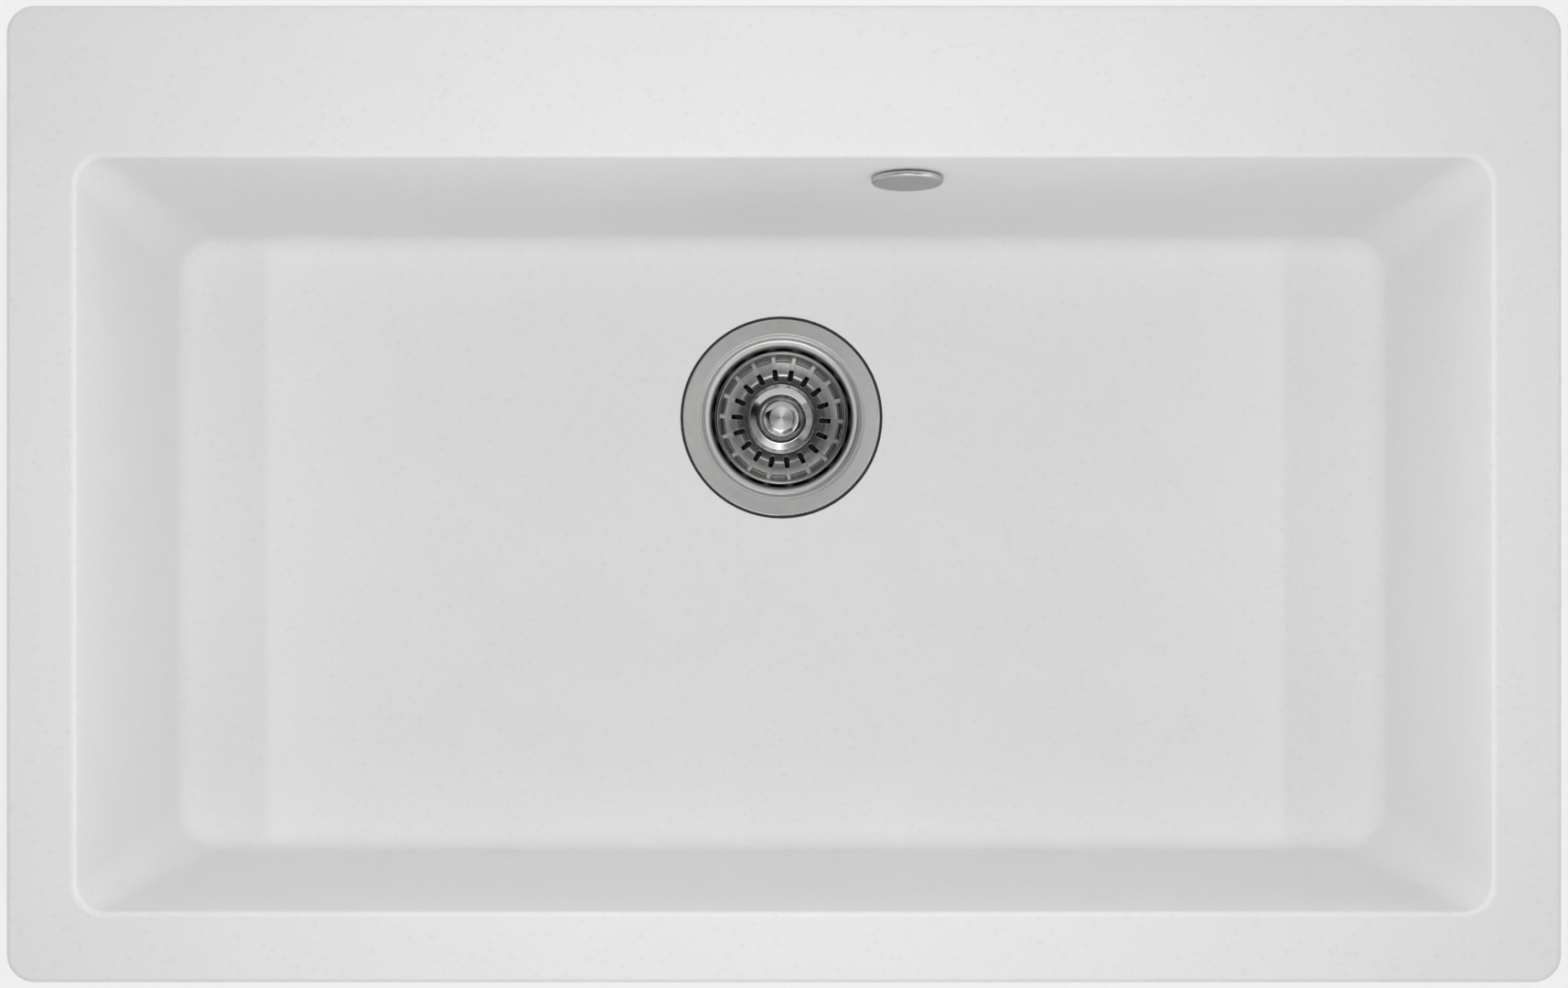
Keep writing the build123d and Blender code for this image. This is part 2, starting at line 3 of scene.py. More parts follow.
import bmesh
import bpy
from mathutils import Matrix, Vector


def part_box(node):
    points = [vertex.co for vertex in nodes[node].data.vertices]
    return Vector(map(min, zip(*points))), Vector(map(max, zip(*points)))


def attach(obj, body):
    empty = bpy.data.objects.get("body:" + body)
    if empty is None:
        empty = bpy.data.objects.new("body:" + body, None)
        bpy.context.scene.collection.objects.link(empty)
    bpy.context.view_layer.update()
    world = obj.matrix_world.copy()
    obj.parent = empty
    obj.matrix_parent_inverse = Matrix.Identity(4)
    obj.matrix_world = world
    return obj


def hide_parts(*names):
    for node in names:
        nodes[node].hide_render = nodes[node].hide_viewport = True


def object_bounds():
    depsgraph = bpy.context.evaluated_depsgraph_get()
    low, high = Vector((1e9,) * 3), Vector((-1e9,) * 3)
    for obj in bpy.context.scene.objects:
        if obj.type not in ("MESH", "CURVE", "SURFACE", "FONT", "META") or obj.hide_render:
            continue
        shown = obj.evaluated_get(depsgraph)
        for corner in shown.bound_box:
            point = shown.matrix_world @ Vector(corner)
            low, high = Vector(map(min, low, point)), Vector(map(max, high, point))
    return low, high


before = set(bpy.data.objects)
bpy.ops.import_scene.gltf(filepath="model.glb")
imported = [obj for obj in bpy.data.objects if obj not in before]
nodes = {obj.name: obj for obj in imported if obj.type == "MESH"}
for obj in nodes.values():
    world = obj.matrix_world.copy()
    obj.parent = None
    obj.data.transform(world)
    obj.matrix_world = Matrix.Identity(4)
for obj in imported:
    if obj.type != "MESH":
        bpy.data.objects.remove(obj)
cad_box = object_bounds()

# The picture: straight down over the middle of the sink
image_width = 1714
outline_pixels = 1702
camera_above_deck = 1.348
camera_offset = -0.010
sensor_width = 36.0

# Places that the frame gives, in metres
sink_low, sink_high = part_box("sink_bowl")
deck_level = sink_high.z
sink_width = sink_high.x - sink_low.x
drain_low, drain_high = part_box("strainer_body")
drain_centre = (drain_low + drain_high) / 2
drain_axis = (drain_centre.x, drain_centre.y, 0)
knob_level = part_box("basket_knob")[1].z
object_low = cad_box[0].z

# Real sizes of the surface detail, in metres
granite_grain = 0.0006
granite_sheen = 4 * granite_grain
granite_swell = 9 * granite_grain
granite_fleck = 0.0021
granite_mottle = 0.05
turned_groove = 0.0004
knob_groove = turned_groove / 2
spun_streak = 0.004
brush_line = 0.0003
pressing_smear = 0.009
pressing_wave = 0.007
pressing_edge = 0.0006
machined_wear = 0.002
zinc_spangle = 0.0016
zinc_cloud = 0.004
zinc_grit = 0.0008
rubber_dust = 0.004
rubber_grain = 0.0005
foam_cell = 0.0006
moulding_cloud = 0.03
moulding_sheen = 0.006
moulding_grain = 0.0007
brass_stain = 0.003

# Depths of the surface detail, in metres
grain_depth = 0.00003
swell_depth = 0.00006
cast_depth = 0.0005
spun_depth = 0.000004
turned_depth = 0.000006
brush_depth = 0.000006
wave_depth = 0.00012
wear_depth = 0.00002
zinc_depth = 0.00003
rubber_depth = 0.00003
foam_depth = 0.0002
moulding_depth = 0.00004

# Radii at which the drain's finish and its painted shade change, in metres
cup_floor_radius = 0.0375
cup_wall_radius = 0.0390
cup_edge_radius = 0.0410
lip_inside = 0.0424
lip_outside = 0.0458
flange_inside = lip_outside + 0.002
basket_floor_radius = 0.0200
basket_dish_radius = 0.0235
basket_wall_radius = 0.0315
basket_bead_radius = 0.0335
hollow_inside = 0.0222
hollow_outside = 0.0256
bead_inside = 0.0350
bead_outside = 0.0378
soft_edge = 0.0005
knob_face_low = knob_level - 0.0004
knob_face_high = knob_level - 0.0002

# Stone: tones as a level and a warmth, and where its flecks and its raw underside begin
granite_dark = (0.865, 0.001)
granite_light = (0.90, 0.0015)
granite_grain_share = 0.62
granite_roughness = (0.44, 0.58)
fleck_tone = (0.68, 0.004)
fleck_strength = 0.15
fleck_start = (0.955, 0.965)
raw_tone = (0.79, 0.006)
raw_roughness = 0.75
raw_facing = (-0.03, -0.02)

# Metal: dark and light tones, and low and high roughness
steel_warmth = 0.012
satin_tones = (0.77, 0.87)
satin_roughness = (0.40, 0.50)
# The cup wall's tone is painted shade, for the shade that falls in the gap under the basket
cup_wall_shade_tone = 0.34
lip_roughness = 0.30
cap_tones = (0.60, 0.71)
cap_warmth = 0.008
cap_edge_tint = 0.55
cap_roughness = (0.24, 0.36)
brush_stretch = (0.02, 1.0, 1.0)
sheet_tones = (0.64, 0.76)
# The hollow's tone is painted shade, for the hollow round the boss and the ring inside the bead
hollow_shade_tone = 0.38
boss_tone = 0.87
sheet_roughness = (0.08, 0.22)
smear_roughness = 0.05
bead_polish = 0.15
dome_tone = 0.67
face_tone = 0.95
knob_roughness = (0.04, 0.44)
machined_tones = (0.52, 0.64)
machined_roughness = (0.22, 0.38)
zinc_cool = (0.50, -0.02)
zinc_warm = (0.64, 0.015)
zinc_roughness = (0.28, 0.46)
brass_dark = (0.62, 0.42, 0.16, 1)
brass_light = (0.78, 0.58, 0.27, 1)
brass_roughness = (0.24, 0.4)

# Rubber, foam and plastic: dark and light tones, and low and high roughness
gasket_tones = (0.022, 0.04)
gasket_gloss = 0.5
plug_tones = (0.005, 0.010)
plug_gloss = 0.2
rubber_roughness = (0.5, 0.68)
foam_tones = (0.06, 0.12)
foam_roughness = 0.9
white_tones = (0.70, 0.76)
white_warmth = 0.006
black_tones = (0.022, 0.032)
nylon_tones = (0.42, 0.5)
nylon_warmth = 0.01
moulding_roughness = (0.34, 0.48)

# The middle of the range of a noise, where most of its values lie
noise_middle = (0.3, 0.7)

# Real sizes of the threads and of the clamp screws, in metres
outlet_length = 0.032
outlet_threaded = 0.024
outlet_crest = 0.0239
outlet_root = 0.0226
outlet_pitch = 0.002309
outlet_sides = 96
outlet_sharp_angle = 40
screw_crest = 0.003
screw_root = 0.00245
screw_pitch = 0.001
screw_sides = 24
screw_sharp_angle = 30
screw_head_across = 0.010
screw_head_flat = 0.48 * screw_head_across
screw_head_slope = 0.58
screw_head_height = 0.004
screw_collar_radius = 0.0045
screw_collar_height = 0.0025
arm_room = 0.0032
thread_rows = 8
thread_steepness = 1.5
touch = 0.0001

# The sky that lights the stone: heights of a direction and levels, to the sides, the front and the back
side_levels = (
    (0.0, 1.15), (0.15, 1.21), (0.25, 1.22), (0.38, 0.85), (0.48, 0.60),
    (0.60, 0.42), (0.70, 0.25), (0.80, 0.08), (0.86, 0.0), (1.0, 0.0),
)
front_levels = (
    (0.0, 1.20), (0.12, 1.0), (0.25, 0.63), (0.38, 0.18), (0.50, 0.03),
    (0.60, 0.12), (0.70, 0.25), (0.80, 0.08), (0.86, 0.0), (1.0, 0.0),
)
back_levels = (
    (0.0, 1.20), (0.10, 0.90), (0.20, 0.20), (0.28, 0.30), (0.40, 0.85), (0.50, 0.94),
    (0.60, 0.60), (0.70, 0.25), (0.80, 0.08), (0.86, 0.0), (1.0, 0.0),
)

# The studio that the metal mirrors: levels, fields, patches, and marks as turn, height, reach and level
studio_levels = (
    (0.0, 0.85), (0.30, 1.00), (0.50, 1.20), (0.62, 1.10), (0.72, 0.65), (0.82, 0.80),
    (0.88, 1.50), (0.93, 1.40), (0.965, 0.60), (0.988, 0.08), (1.0, 0.03),
)
studio_fields = (0.25, 1.0)
studio_field_heights = (0.70, 0.86)
studio_patch = 0.55
studio_patch_levels = (0.6, 1.1)
studio_patch_start = (0.40, 0.54)
studio_right = 0.5
studio_marks = (
    (138, 52, 24, 0.05),
    (-62, 45, 16, 0.25),
    (55, 50, 20, 0.55),
    (-150, 62, 10, 0.5),
)
mark_softness = 0.25

# Lamps: soft boxes over, behind and in front of the bowl, and two weak lights from the sides
top_box_height = 0.75
top_box_size = 0.25
top_box_power = 2.58
end_box_distance = 1.1
end_box_height = 1.5
end_box_size = 0.8
back_box_power = 1.8
front_box_power = 2.77
side_left_tilt = -16.7
side_right_tilt = 18.5
side_left_strength = 0.197
side_right_strength = 0.184
side_spread = 1.5

# The floor under the sink
floor_half = 6.0
floor_gap = 0.0005
floor_tone = 0.8
floor_shadow_tone = 0.5
floor_roughness = 0.9
floor_glow = 0.62
floor_shadow_reach = 1.2


def new_material(name):
    """An empty node material with its shader."""
    material = bpy.data.materials.new(name)
    material.use_nodes = True
    tree = material.node_tree
    return material, tree, tree.nodes["Principled BSDF"]


def add(tree, kind, settings=None, **values):
    """A shader node with its settings and input values; an underscore in a name stands for a blank."""
    made = tree.nodes.new(kind)
    for name, value in (settings or {}).items():
        setattr(made, name, value)
    set_values(made, **values)
    return made


def set_values(node, **values):
    """Constant values on a node's own sockets."""
    for name, value in values.items():
        node.inputs[name.replace("_", " ")].default_value = value


def wire(tree, shader, **sources):
    """Links from sources to the shader's sockets."""
    for name, source in sources.items():
        tree.links.new(source, shader.inputs[name.replace("_", " ")])


def fill(tree, socket, value):
    """Give a socket a number, a colour or a link."""
    if isinstance(value, (int, float, tuple)):
        socket.default_value = value
    else:
        tree.links.new(value, socket)


def grey(level, warm=0.0):
    """A grey colour, a little warm or cool."""
    return (level * (1 + warm), level, level * (1 - warm), 1.0)


def object_place(tree, offset=(0, 0, 0)):
    """The point in the piece's own frame, measured from an offset."""
    source = add(tree, "ShaderNodeTexCoord")
    shifted = add(tree, "ShaderNodeVectorMath", {"operation": "SUBTRACT"})
    shifted.inputs[1].default_value = offset
    tree.links.new(source.outputs["Object"], shifted.inputs[0])
    return shifted.outputs[0]


def split(tree, place):
    """The three numbers of a place or a direction."""
    parts = add(tree, "ShaderNodeSeparateXYZ")
    tree.links.new(place, parts.inputs[0])
    return parts.outputs


def noise(tree, place, size, detail):
    """Noise with features of a real size."""
    made = add(tree, "ShaderNodeTexNoise", Scale=1 / size, Detail=detail)
    tree.links.new(place, made.inputs["Vector"])
    return made.outputs["Fac"]


def cells(tree, place, size):
    """One random number for each cell of a real size."""
    made = add(tree, "ShaderNodeTexVoronoi", Scale=1 / size)
    tree.links.new(place, made.inputs["Vector"])
    parts = add(tree, "ShaderNodeSeparateColor")
    tree.links.new(made.outputs["Color"], parts.inputs[0])
    return parts.outputs[0]


def spread(tree, value, low, high, start=0.0, end=1.0):
    """A value moved from one range to another and held inside it."""
    made = add(tree, "ShaderNodeMapRange", From_Min=start, From_Max=end, To_Min=low, To_Max=high)
    tree.links.new(value, made.inputs["Value"])
    return made.outputs["Result"]


def combine(tree, operation, first, second):
    """Arithmetic on two values, of which the second may be a number."""
    made = add(tree, "ShaderNodeMath", {"operation": operation})
    tree.links.new(first, made.inputs[0])
    fill(tree, made.inputs[1], second)
    return made.outputs[0]


def pick(tree, factor, first, second):
    """The first value, or the second where the factor is one."""
    made = add(tree, "ShaderNodeMix", {"data_type": "FLOAT"})
    tree.links.new(factor, made.inputs["Factor"])
    fill(tree, made.inputs[2], first)
    fill(tree, made.inputs[3], second)
    return made.outputs[0]


def blend_colours(tree, factor, first, second):
    """A colour between two, by a factor."""
    made = add(tree, "ShaderNodeMix", {"data_type": "RGBA"})
    tree.links.new(factor, made.inputs["Factor"])
    fill(tree, made.inputs[6], first)
    fill(tree, made.inputs[7], second)
    return made.outputs[2]


def blend_tones(tree, factor, tones, warm=0.0):
    """A grey between a dark and a light tone, by a factor."""
    dark, light = tones
    return blend_colours(tree, factor, grey(dark, warm), grey(light, warm))


def bump(tree, height, depth, strength, below=None):
    """A bump of a real depth, over another one if that is given."""
    made = add(tree, "ShaderNodeBump", Distance=depth, Strength=strength)
    tree.links.new(height, made.inputs["Height"])
    if below is not None:
        tree.links.new(below, made.inputs["Normal"])
    return made.outputs["Normal"]


def axis_distance(tree, place):
    """The distance from the Z axis of a place."""
    flat = add(tree, "ShaderNodeVectorMath", {"operation": "MULTIPLY"})
    flat.inputs[1].default_value = (1, 1, 0)
    tree.links.new(place, flat.inputs[0])
    length = add(tree, "ShaderNodeVectorMath", {"operation": "LENGTH"})
    tree.links.new(flat.outputs[0], length.inputs[0])
    return length.outputs["Value"]


def within(tree, distance, radius):
    """One inside a radius and nothing outside it, with a soft edge."""
    return spread(tree, distance, 1.0, 0.0, radius - soft_edge, radius + soft_edge)


def beyond(tree, distance, radius):
    """One outside a radius and nothing inside it, with a soft edge."""
    return spread(tree, distance, 0.0, 1.0, radius - soft_edge, radius + soft_edge)


def band(tree, distance, inside, outside):
    """One between two radii and nothing elsewhere, with soft edges."""
    return combine(tree, "MINIMUM", beyond(tree, distance, inside), within(tree, distance, outside))


def grooves(tree, distance, pitch):
    """Fine turned grooves, as a wave of a real pitch along a distance."""
    return combine(tree, "SINE", combine(tree, "MULTIPLY", distance, 2 * math.pi / pitch), 0)


def turned_tangent(tree):
    """The direction round the Z axis, along which a lathe leaves its lines."""
    return add(tree, "ShaderNodeTangent", {"direction_type": "RADIAL", "axis": "Z"}).outputs[0]


def under_faces(tree):
    """One on the faces that look down, which the mould leaves rough, and nothing on the others."""
    source = add(tree, "ShaderNodeTexCoord")
    facing = split(tree, source.outputs["Normal"])
    return spread(tree, facing["Z"], 1.0, 0.0, *raw_facing)


def granite_colour(tree, place):
    """A fine mineral grain with a faint mottle and a few darker flecks."""
    grain = spread(tree, cells(tree, place, granite_grain), 0.0, granite_grain_share)
    cloud = noise(tree, place, granite_mottle, detail=3.0)
    mottle = spread(tree, cloud, 0.0, 1 - granite_grain_share, *noise_middle)
    tone = combine(tree, "ADD", grain, mottle)
    stone = blend_colours(tree, tone, grey(*granite_dark), grey(*granite_light))
    fleck = spread(tree, cells(tree, place, granite_fleck), 0.0, fleck_strength, *fleck_start)
    return blend_colours(tree, fleck, stone, grey(*fleck_tone))


def granite():
    """White composite stone, smooth above and raw from the mould below."""
    material, tree, shader = new_material("granite_white")
    place = object_place(tree)
    raw = under_faces(tree)
    colour = blend_colours(tree, raw, granite_colour(tree, place), grey(*raw_tone))
    sheen = noise(tree, place, granite_sheen, detail=2.0)
    smooth = spread(tree, sheen, *granite_roughness, *noise_middle)
    rough = pick(tree, raw, smooth, raw_roughness)
    cast = combine(tree, "MULTIPLY", raw, noise(tree, place, granite_fleck, detail=4.0))
    skin = bump(tree, cast, cast_depth, strength=0.6)
    skin = bump(tree, noise(tree, place, granite_swell, detail=2.0), swell_depth, strength=0.5, below=skin)
    skin = bump(tree, noise(tree, place, granite_grain, detail=3.0), grain_depth, strength=0.5, below=skin)
    wire(tree, shader, Base_Color=colour, Roughness=rough, Normal=skin)
    return material


def satin_steel():
    """Spun steel: fine turned grooves on the flange, a smoother lip, and painted shade that darkens the
    cup's wall.
    """
    material, tree, shader = new_material("steel_satin")
    place = object_place(tree, drain_axis)
    set_values(shader, Metallic=1.0, Anisotropic=0.2)
    streak = noise(tree, place, spun_streak, detail=4.0)
    distance = axis_distance(tree, place)
    lip = spread(tree, distance, 0.0, 1.0, cup_edge_radius, lip_inside)
    floor = spread(tree, distance, 1.0, 0.0, cup_floor_radius, cup_wall_radius)
    bright = combine(tree, "MAXIMUM", lip, floor)
    spun = blend_tones(tree, streak, satin_tones, steel_warmth)
    # Painted shade: the cup's wall between its floor and its lip takes the dark tone
    colour = blend_colours(tree, bright, grey(cup_wall_shade_tone, steel_warmth), spun)
    brushed = spread(tree, distance, 0.0, 1.0, lip_outside, flange_inside)
    rough = pick(tree, brushed, lip_roughness, spread(tree, streak, *satin_roughness))
    lines = bump(tree, grooves(tree, distance, turned_groove), spun_depth, strength=0.5)
    wire(tree, shader, Base_Color=colour, Roughness=rough, Normal=lines, Tangent=turned_tangent(tree))
    return material


def cap_steel():
    """Brushed steel, with its lines across the cap."""
    material, tree, shader = new_material("steel_brushed")
    set_values(shader, Metallic=1.0, Anisotropic=0.4, Specular_Tint=grey(cap_edge_tint))
    stretched = add(tree, "ShaderNodeMapping", Scale=brush_stretch)
    tree.links.new(object_place(tree), stretched.inputs["Vector"])
    brush = noise(tree, stretched.outputs[0], brush_line, detail=3.0)
    colour = blend_tones(tree, brush, cap_tones, cap_warmth)
    rough = spread(tree, brush, *cap_roughness)
    lines = bump(tree, brush, brush_depth, strength=0.6)
    wire(tree, shader, Base_Color=colour, Roughness=rough, Normal=lines)
    return material


def polished_steel():
    """The basket's pressed sheet: a bright boss, a satin dish with slight waves, and painted shade on the
    hollow and on the ring by the bead.
    """
    material, tree, shader = new_material("steel_polished")
    place = object_place(tree, drain_axis)
    set_values(shader, Metallic=1.0)
    smear = noise(tree, place, pressing_smear, detail=3.0)
    distance = axis_distance(tree, place)
    # Painted shade: the hollow round the boss and the ring inside the bead take a dark tone
    hollow = band(tree, distance, hollow_inside, hollow_outside)
    shaded_rings = combine(tree, "MAXIMUM", hollow, band(tree, distance, bead_inside, bead_outside))
    sheet = blend_tones(tree, smear, sheet_tones, steel_warmth)
    dished = blend_colours(tree, shaded_rings, sheet, grey(hollow_shade_tone, steel_warmth))
    boss = within(tree, distance, basket_floor_radius)
    colour = blend_colours(tree, boss, dished, grey(boss_tone, steel_warmth))
    satin = spread(tree, distance, *sheet_roughness, basket_floor_radius, basket_dish_radius)
    smeared = combine(tree, "ADD", satin, spread(tree, smear, 0.0, smear_roughness, *noise_middle))
    polish = spread(tree, distance, 0.0, bead_polish, basket_wall_radius, basket_bead_radius)
    rough = combine(tree, "SUBTRACT", smeared, polish)
    edge = add(tree, "ShaderNodeBevel", {"samples": 8}, Radius=pressing_edge).outputs[0]
    wave = bump(tree, noise(tree, place, pressing_wave, detail=1.0), wave_depth, strength=0.6, below=edge)
    wire(tree, shader, Base_Color=colour, Roughness=rough, Normal=wave)
    return material


def turned_knob():
    """The knob: a mirror on its dome and a turned face on its head."""
    material, tree, shader = new_material("steel_knob")
    place = object_place(tree, drain_axis)
    set_values(shader, Metallic=1.0, Anisotropic=0.95, Anisotropic_Rotation=0.25)
    face = spread(tree, split(tree, place)["Z"], 0.0, 1.0, knob_face_low, knob_face_high)
    colour = blend_tones(tree, face, (dome_tone, face_tone), steel_warmth)
    rough = spread(tree, face, *knob_roughness)
    turned = combine(tree, "MULTIPLY", grooves(tree, axis_distance(tree, place), knob_groove), face)
    lines = bump(tree, turned, turned_depth, strength=0.6)
    wire(tree, shader, Base_Color=colour, Roughness=rough, Normal=lines, Tangent=turned_tangent(tree))
    return material


def bright_steel():
    """Machined steel of the screw, stud, nut and washer."""
    material, tree, shader = new_material("steel_bright")
    set_values(shader, Metallic=1.0)
    worn = noise(tree, object_place(tree), machined_wear, detail=3.0)
    colour = blend_tones(tree, worn, machined_tones)
    rough = spread(tree, worn, *machined_roughness)
    wear = bump(tree, worn, wear_depth, strength=0.4)
    wire(tree, shader, Base_Color=colour, Roughness=rough, Normal=wear)
    return material


def zinc_steel():
    """Zinc plate: pale spangles with a faint warm and cool play."""
    material, tree, shader = new_material("steel_zinc")
    place = object_place(tree)
    set_values(shader, Metallic=1.0)
    spangle = cells(tree, place, zinc_spangle)
    colour = blend_colours(tree, spangle, grey(*zinc_cool), grey(*zinc_warm))
    rough = spread(tree, noise(tree, place, zinc_cloud, detail=3.0), *zinc_roughness)
    grit = bump(tree, noise(tree, place, zinc_grit, detail=2.0), zinc_depth, strength=0.5)
    wire(tree, shader, Base_Color=colour, Roughness=rough, Normal=grit)
    return material


def rubber(name, tones, gloss):
    """Black moulded rubber."""
    material, tree, shader = new_material(name)
    place = object_place(tree)
    set_values(shader, Specular_IOR_Level=gloss)
    dust = noise(tree, place, rubber_dust, detail=4.0)
    colour = blend_tones(tree, dust, tones)
    rough = spread(tree, dust, *rubber_roughness)
    skin = bump(tree, noise(tree, place, rubber_grain, detail=2.0), rubber_depth, strength=0.6)
    wire(tree, shader, Base_Color=colour, Roughness=rough, Normal=skin)
    return material


def foam():
    """Dark closed-cell foam."""
    material, tree, shader = new_material("foam_dark")
    set_values(shader, Roughness=foam_roughness)
    cell = cells(tree, object_place(tree), foam_cell)
    colour = blend_tones(tree, cell, foam_tones)
    wire(tree, shader, Base_Color=colour, Normal=bump(tree, cell, foam_depth, strength=0.7))
    return material


def moulded_plastic(name, tones, warm=0.0):
    """Moulded plastic with a fine tool grain."""
    material, tree, shader = new_material(name)
    place = object_place(tree)
    colour = blend_tones(tree, noise(tree, place, moulding_cloud, detail=3.0), tones, warm)
    rough = spread(tree, noise(tree, place, moulding_sheen, detail=3.0), *moulding_roughness)
    grain = bump(tree, noise(tree, place, moulding_grain, detail=2.0), moulding_depth, strength=0.5)
    wire(tree, shader, Base_Color=colour, Roughness=rough, Normal=grain)
    return material


def brass():
    """Turned brass."""
    material, tree, shader = new_material("brass_turned")
    set_values(shader, Metallic=1.0)
    stain = noise(tree, object_place(tree), brass_stain, detail=3.0)
    colour = blend_colours(tree, stain, brass_dark, brass_light)
    wire(tree, shader, Base_Color=colour, Roughness=spread(tree, stain, *brass_roughness))
    return material


def dress(material, *names):
    """Give CAD nodes a material."""
    for name in names:
        mesh = nodes[name].data
        mesh.materials.clear()
        mesh.materials.append(material)


def dress_nodes():
    """Every CAD node gets its finish, and threaded pieces stand in for plain ones."""
    dress(granite(), "sink_bowl")
    dress(satin_steel(), "strainer_body")
    dress(cap_steel(), "overflow_cap")
    dress(polished_steel(), "strainer_basket")
    dress(turned_knob(), "basket_knob")
    dress(bright_steel(), "seal_washer", "knob_nut", "centre_screw", "overflow_stud")
    gaskets = ("flange_gasket", "waste_gasket", "overflow_gasket", "pipe_seal_upper", "pipe_seal_lower")
    dress(rubber("rubber_black", gasket_tones, gasket_gloss), *gaskets)
    dress(rubber("rubber_plug", plug_tones, plug_gloss), "basket_seal")
    dress(foam(), "rim_seal")
    white_pieces = ("waste_body", "overflow_elbow", "overflow_pipe")
    dress(moulded_plastic("plastic_white", white_tones, white_warmth), *white_pieces)
    dress(moulded_plastic("plastic_black", black_tones), "pipe_nut_upper", "pipe_nut_lower")
    dress(brass(), "screw_insert")
    dress(moulded_plastic("nylon_grey", nylon_tones, nylon_warmth), "clamp_dowels")
    zinc = zinc_steel()
    dress(zinc, *[name for name in nodes if name.startswith(("clamp_screw_", "clamp_arm_"))])
    add_threaded_outlet()
    add_clamp_screws(zinc)


def thread_radius(level, turn, crest, root, pitch):
    """The radius of a right-hand thread at a level and a turn, with flat crests and roots."""
    step = (level / pitch - turn / (2 * math.pi)) % 1.0
    rise = 0.5 + thread_steepness * (abs(2 * step - 1) - 0.5)
    return root + (crest - root) * min(1.0, max(0.0, rise))


def all_turns(sides):
    """The turns of the sides of a ring, in radians."""
    return [2 * math.pi * side / sides for side in range(sides)]


def thread_rings(low, high, crest, root, pitch, sides):
    """Rings of a threaded wall between two levels, which fades to its crest at both ends."""
    rows = round(thread_rows * (high - low) / pitch)
    rings = []
    for row in range(rows + 1):
        level = low + (high - low) * row / rows
        share = min(1.0, (level - low) / pitch, (high - level) / pitch)
        depths = [crest - thread_radius(level, turn, crest, root, pitch) for turn in all_turns(sides)]
        rings.append([(crest - share * depth, level) for depth in depths])
    return rings


def stack(shape, axis, rings):
    """Faces between rings of points round a vertical axis, with a radius and a level for each side."""
    loops = []
    for ring in rings:
        loop = []
        for turn, (radius, level) in zip(all_turns(len(ring)), ring):
            point = (axis.x + radius * math.cos(turn), axis.y + radius * math.sin(turn), level)
            loop.append(shape.verts.new(point))
        loops.append(loop)
    for lower, upper in zip(loops, loops[1:]):
        for side in range(len(lower)):
            after = (side + 1) % len(lower)
            shape.faces.new((lower[side], lower[after], upper[after], upper[side]))
    return loops


def finish_mesh(shape, mesh, angle):
    """Write a bmesh to a mesh, smooth but for the edges that are sharper than an angle in degrees."""
    shape.to_mesh(mesh)
    shape.free()
    if "custom_normal" in mesh.attributes:
        mesh.attributes.remove(mesh.attributes["custom_normal"])
    mesh.shade_smooth()
    mesh.set_sharp_from_angle(angle=math.radians(angle))


def add_piece(name, mesh, node, body):
    """A dressed piece that stands for a CAD node and rides on its body."""
    piece = bpy.data.objects.new(name, mesh)
    bpy.context.scene.collection.objects.link(piece)
    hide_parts(node)
    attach(piece, body)


def add_threaded_outlet():
    """The waste body with a pipe thread on its outlet."""
    mesh = nodes["waste_body"].data.copy()
    shape = bmesh.new()
    shape.from_mesh(mesh)
    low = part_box("waste_body")[0].z
    top = low + outlet_length

    def on_outlet(corner):
        distance = math.hypot(corner.co.x - drain_centre.x, corner.co.y - drain_centre.y)
        return abs(distance - outlet_crest) < touch and corner.co.z < top + touch

    upright = [face for face in shape.faces if abs(face.normal.z) < 0.5]
    plain = [face for face in upright if all(map(on_outlet, face.verts))]
    bmesh.ops.delete(shape, geom=plain, context="FACES")
    rings = thread_rings(low, low + outlet_threaded, outlet_crest, outlet_root, outlet_pitch, outlet_sides)
    rings.append([(outlet_crest, top)] * outlet_sides)
    stack(shape, drain_centre, rings)
    finish_mesh(shape, mesh, outlet_sharp_angle)
    add_piece("waste_body_threaded", mesh, "waste_body", "sink")


def hexagon_radius(turn, across):
    """The distance from the middle of a hexagon to its edge at a turn."""
    return across / 2 / math.cos(turn % (math.pi / 3) - math.pi / 6)


def clamp_screw_rings(low, high, arm_low):
    """The rings of a clamp screw: a chamfered head, a plain neck, a collar and a thread."""
    edge = [hexagon_radius(turn, screw_head_across) for turn in all_turns(screw_sides)]
    head_top = low + screw_head_height
    collar_low = arm_low + arm_room
    collar_top = collar_low + screw_collar_height
    rings = [
        [(screw_head_flat, low)] * screw_sides,
        [(radius, low + screw_head_slope * (radius - screw_head_flat)) for radius in edge],
        [(radius, head_top) for radius in edge],
        [(screw_crest, head_top)] * screw_sides,
        [(screw_crest, collar_low)] * screw_sides,
        [(screw_collar_radius, collar_low)] * screw_sides,
        [(screw_collar_radius, collar_top)] * screw_sides,
    ]
    rings += thread_rings(collar_top, high - screw_pitch, screw_crest, screw_root, screw_pitch, screw_sides)
    rings.append([(screw_root, high)] * screw_sides)
    return rings


def add_clamp_screws(material):
    """Threaded clamp screws in place of the plain ones."""
    for name in [node[len("clamp_screw_"):] for node in nodes if node.startswith("clamp_screw_")]:
        low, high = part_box(f"clamp_screw_{name}")
        arm_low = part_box(f"clamp_arm_{name}")[0].z
        shape = bmesh.new()
        loops = stack(shape, (low + high) / 2, clamp_screw_rings(low.z, high.z, arm_low))
        shape.faces.new(reversed(loops[0]))
        shape.faces.new(loops[-1])
        mesh = bpy.data.meshes.new(f"clamp_bolt_{name}")
        finish_mesh(shape, mesh, screw_sharp_angle)
        mesh.materials.append(material)
        add_piece(f"clamp_bolt_{name}", mesh, f"clamp_screw_{name}", f"screw_{name}")


